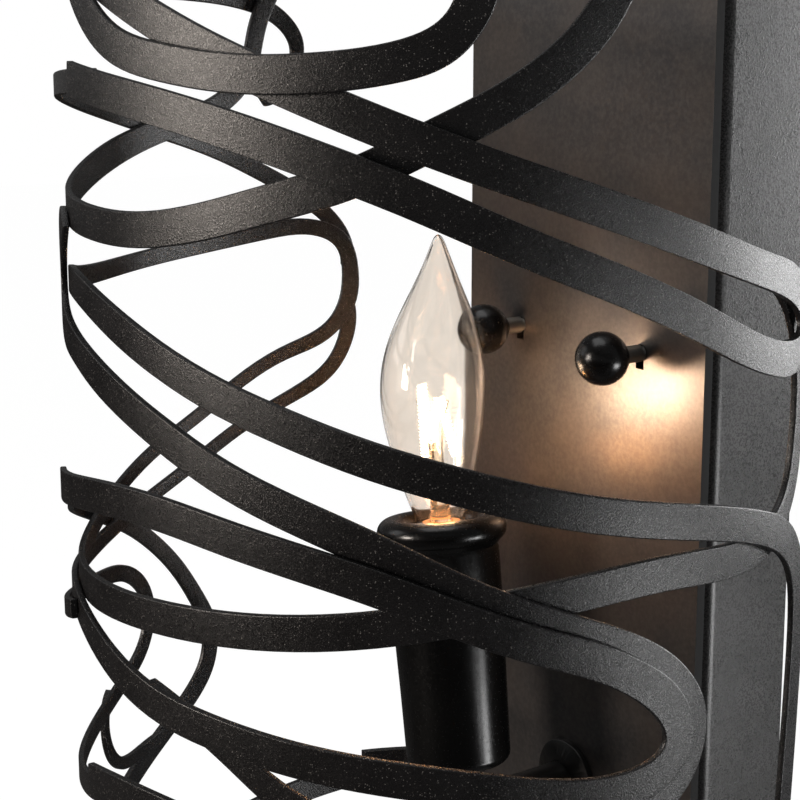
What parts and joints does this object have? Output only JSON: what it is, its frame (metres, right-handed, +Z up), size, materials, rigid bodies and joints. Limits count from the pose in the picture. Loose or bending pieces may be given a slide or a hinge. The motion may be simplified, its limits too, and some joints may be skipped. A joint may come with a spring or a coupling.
{
  "type": "candle wall light",
  "caption": "Wall light with a leaning candle-shaped bulb and cup on a short arm, in front of a tall plate and inside a round openwork drum of curved flat steel ribbons.",
  "frame": {"origin": "on the wall plane, midway between the two mounting studs", "axes": "+Z up, -Y out of the wall towards the room, +X to the right of a person who faces the wall"},
  "size_m": [0.2194, 0.1988, 0.3583],
  "materials": {
    "arm_black": "black satin paint",
    "base_insulator": "black vitrite glass",
    "base_nickel": "nickel plated brass",
    "box_black": "black fine-texture powder coat",
    "bulb_glass": "clear glass",
    "contact_tin": "solder",
    "cup_black": "black satin paint",
    "gloss_black": "black gloss enamel",
    "ground_green": "green painted screw",
    "insulation_black": "wire insulation",
    "insulation_green": "wire insulation",
    "insulation_white": "wire insulation",
    "plate_black": "black satin paint",
    "screw_black": "black oxide",
    "shade_black": "black fine-texture powder coat",
    "socket_brass": "plain brass",
    "socket_phenolic": "moulded phenolic",
    "stem_glass": "clear glass",
    "support_wire": "drawn molybdenum",
    "tungsten": "drawn tungsten",
    "wire_nut_orange": "moulded plastic",
    "zinc_steel": "zinc plated"
  },
  "bodies": {
    "lamp": {"arm_flange": "arm_black", "arm_lock_nut": "zinc_steel", "arm_lock_washer": "zinc_steel", "arm_tube": "arm_black", "ball_elbow": "arm_black", "bracket_bottom": "shade_black", "bracket_screws": "screw_black", "bracket_top": "shade_black", "candle_cup": "cup_black", "crossbar": "zinc_steel", "cup_collar": "arm_black", "cup_lock_nut": "zinc_steel", "front_plate": "plate_black", "ground_screw": "ground_green", "lead_ground": "insulation_green", "lead_hot": "insulation_black", "lead_neutral": "insulation_white", "nipple": "zinc_steel", "ribbon_back_link": "shade_black", "ribbon_bottom_band": "shade_black", "ribbon_bottom_swirl": "shade_black", "ribbon_deep_swirl": "shade_black", "ribbon_front_swirl": "shade_black", "ribbon_hairpin_swirl": "shade_black", "ribbon_high_swirl": "shade_black", "ribbon_long_lobe": "shade_black", "ribbon_low_swirl": "shade_black", "ribbon_short_lobe": "shade_black", "ribbon_small_lobe": "shade_black", "ribbon_top_band": "shade_black", "ribbon_top_crook": "shade_black", "ribbon_top_link": "shade_black", "ribbon_upper_crook": "shade_black", "ribbon_wide_swirl": "shade_black", "shade_screws": "screw_black", "socket_body": "socket_phenolic", "socket_contact": "socket_brass", "socket_shell": "socket_brass", "socket_stem": "zinc_steel", "stud_left": "zinc_steel", "stud_lock_nuts": "zinc_steel", "stud_right": "zinc_steel", "wall_box": "box_black", "wire_nuts": "wire_nut_orange"},
    "bulb": {"bulb_contact": "contact_tin", "bulb_filament": "tungsten", "bulb_glass": "bulb_glass", "bulb_insulator": "base_insulator", "bulb_screw_base": "base_nickel", "bulb_stem": "stem_glass", "bulb_support_wires": "support_wire"},
    "ball_nut_left": {"ball_nut_left": "gloss_black"},
    "ball_nut_right": {"ball_nut_right": "gloss_black"}
  },
  "joints": [
    {"name": "bulb_turn", "type": "hinge", "parent": "lamp", "child": "bulb", "pos_m": [-0.01483, -0.07768, -0.05827], "axis": [-0.1672, 0.0205, 0.9857], "continuous": true},
    {"name": "ball_nut_left_turn", "type": "hinge", "parent": "lamp", "child": "ball_nut_left", "pos_m": [-0.0286, -0.0517, 0], "axis": [0, -1, 0], "continuous": true},
    {"name": "ball_nut_right_turn", "type": "hinge", "parent": "lamp", "child": "ball_nut_right", "pos_m": [0.0286, -0.0517, 0], "axis": [0, -1, 0], "continuous": true}
  ]
}
